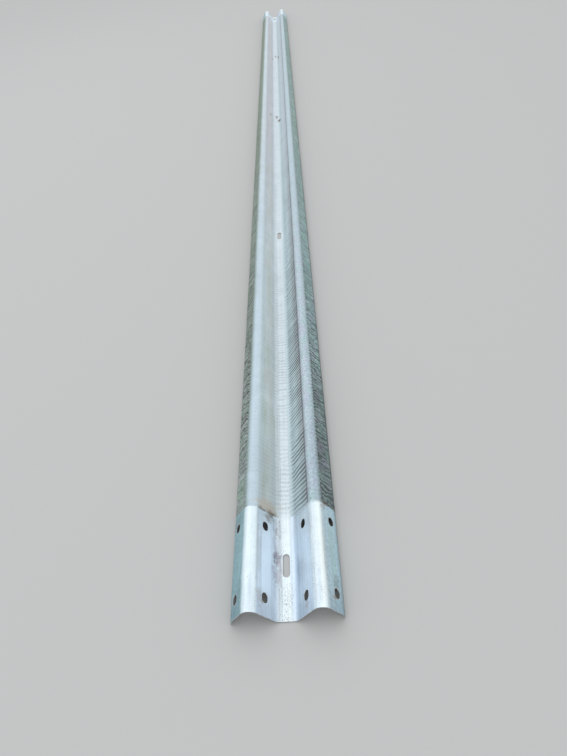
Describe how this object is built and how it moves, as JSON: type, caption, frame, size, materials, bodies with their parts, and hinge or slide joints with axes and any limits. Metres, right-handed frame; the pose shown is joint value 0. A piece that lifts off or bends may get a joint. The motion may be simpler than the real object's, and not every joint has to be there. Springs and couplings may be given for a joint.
{
  "type": "w-beam guardrail panel",
  "caption": "Roll-formed galvanised W-beam rail panel with slots for post bolts along its valley and splice bolts on its flanks at both ends.",
  "frame": {"origin": "under the middle of the panel, on the plane of the valley's back face", "axes": "+Y along the rail, +Z out of the traffic face, which the two crests point to, +X across the rail"},
  "size_m": [0.3112, 7.9376, 0.0825],
  "materials": {
    "galvanised_steel": "hot-dip galvanised, weathered"
  },
  "bodies": {
    "root": {"w_beam_rail": "galvanised_steel"}
  },
  "joints": []
}
